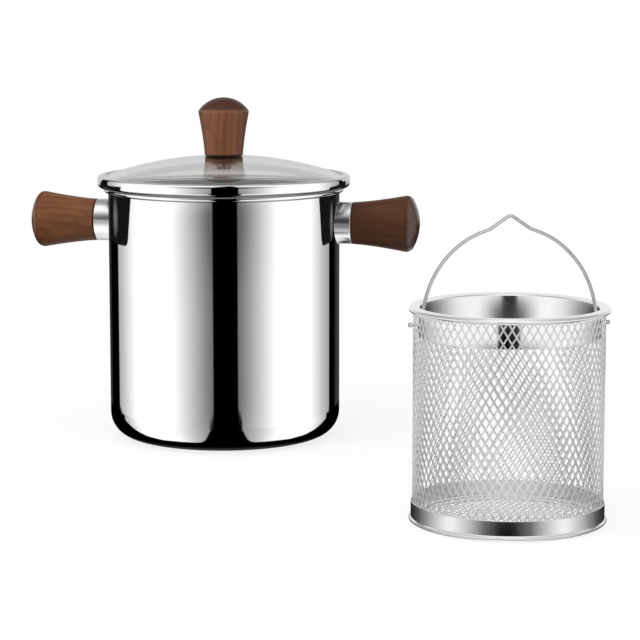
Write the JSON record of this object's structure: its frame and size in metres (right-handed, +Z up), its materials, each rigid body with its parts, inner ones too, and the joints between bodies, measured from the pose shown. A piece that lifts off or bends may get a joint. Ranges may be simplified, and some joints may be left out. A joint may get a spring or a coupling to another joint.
{
  "type": "deep fry pot with basket",
  "caption": "Tall polished steel frying pot with wooden side handles and a domed glass lid, and a lift-out expanded-metal strainer basket with a swinging wire bail beside it.",
  "frame": {"origin": "centre of the pot's flat base, on the surface that the pot and the basket stand on", "axes": "+Z up along the pot's axis, +X along the pot's two side handles towards the basket's side, +Y away from the basket"},
  "size_m": [0.4088, 0.3893, 0.2353],
  "materials": {
    "polished_steel": "mirror-polished stainless steel",
    "bright_wire": "electropolished stainless steel",
    "fastening_steel": "plain machined steel",
    "brass": "machined brass",
    "dark_wood": "oiled dark hardwood, satin",
    "silicone": "dark silicone, matt",
    "lid_glass": "clear tempered glass"
  },
  "bodies": {
    "pot": {"pot_shell": "polished_steel", "left_ferrule": "polished_steel", "left_stud": "fastening_steel", "left_insert": "brass", "left_grip": "dark_wood", "right_ferrule": "polished_steel", "right_stud": "fastening_steel", "right_insert": "brass", "right_grip": "dark_wood"},
    "lid": {"lid_glass": "lid_glass", "lid_band": "polished_steel", "lid_knob": "dark_wood", "knob_insert": "brass", "knob_screw": "fastening_steel", "knob_washer": "fastening_steel", "lower_gasket": "silicone", "upper_gasket": "silicone"},
    "basket": {"basket_rim": "polished_steel", "basket_net_wall": "bright_wire", "basket_net_floor": "bright_wire", "basket_base_band": "polished_steel", "basket_clamp_ring": "polished_steel"},
    "bail": {"basket_bail": "bright_wire"}
  },
  "joints": [
    {"name": "lid_lift", "type": "slide", "parent": "pot", "child": "lid", "axis": [0, 0, 1], "range_m": [0, 0.15]},
    {"name": "basket_lift", "type": "slide", "parent": "pot", "child": "basket", "axis": [0, 0, 1], "range_m": [0, 0.25]},
    {"name": "bail_swing", "type": "hinge", "parent": "basket", "child": "bail", "pos_m": [0.2132, -0.2427, 0.1173], "axis": [0.9703, 0.2419, 0], "range_deg": [-65, 65]}
  ]
}
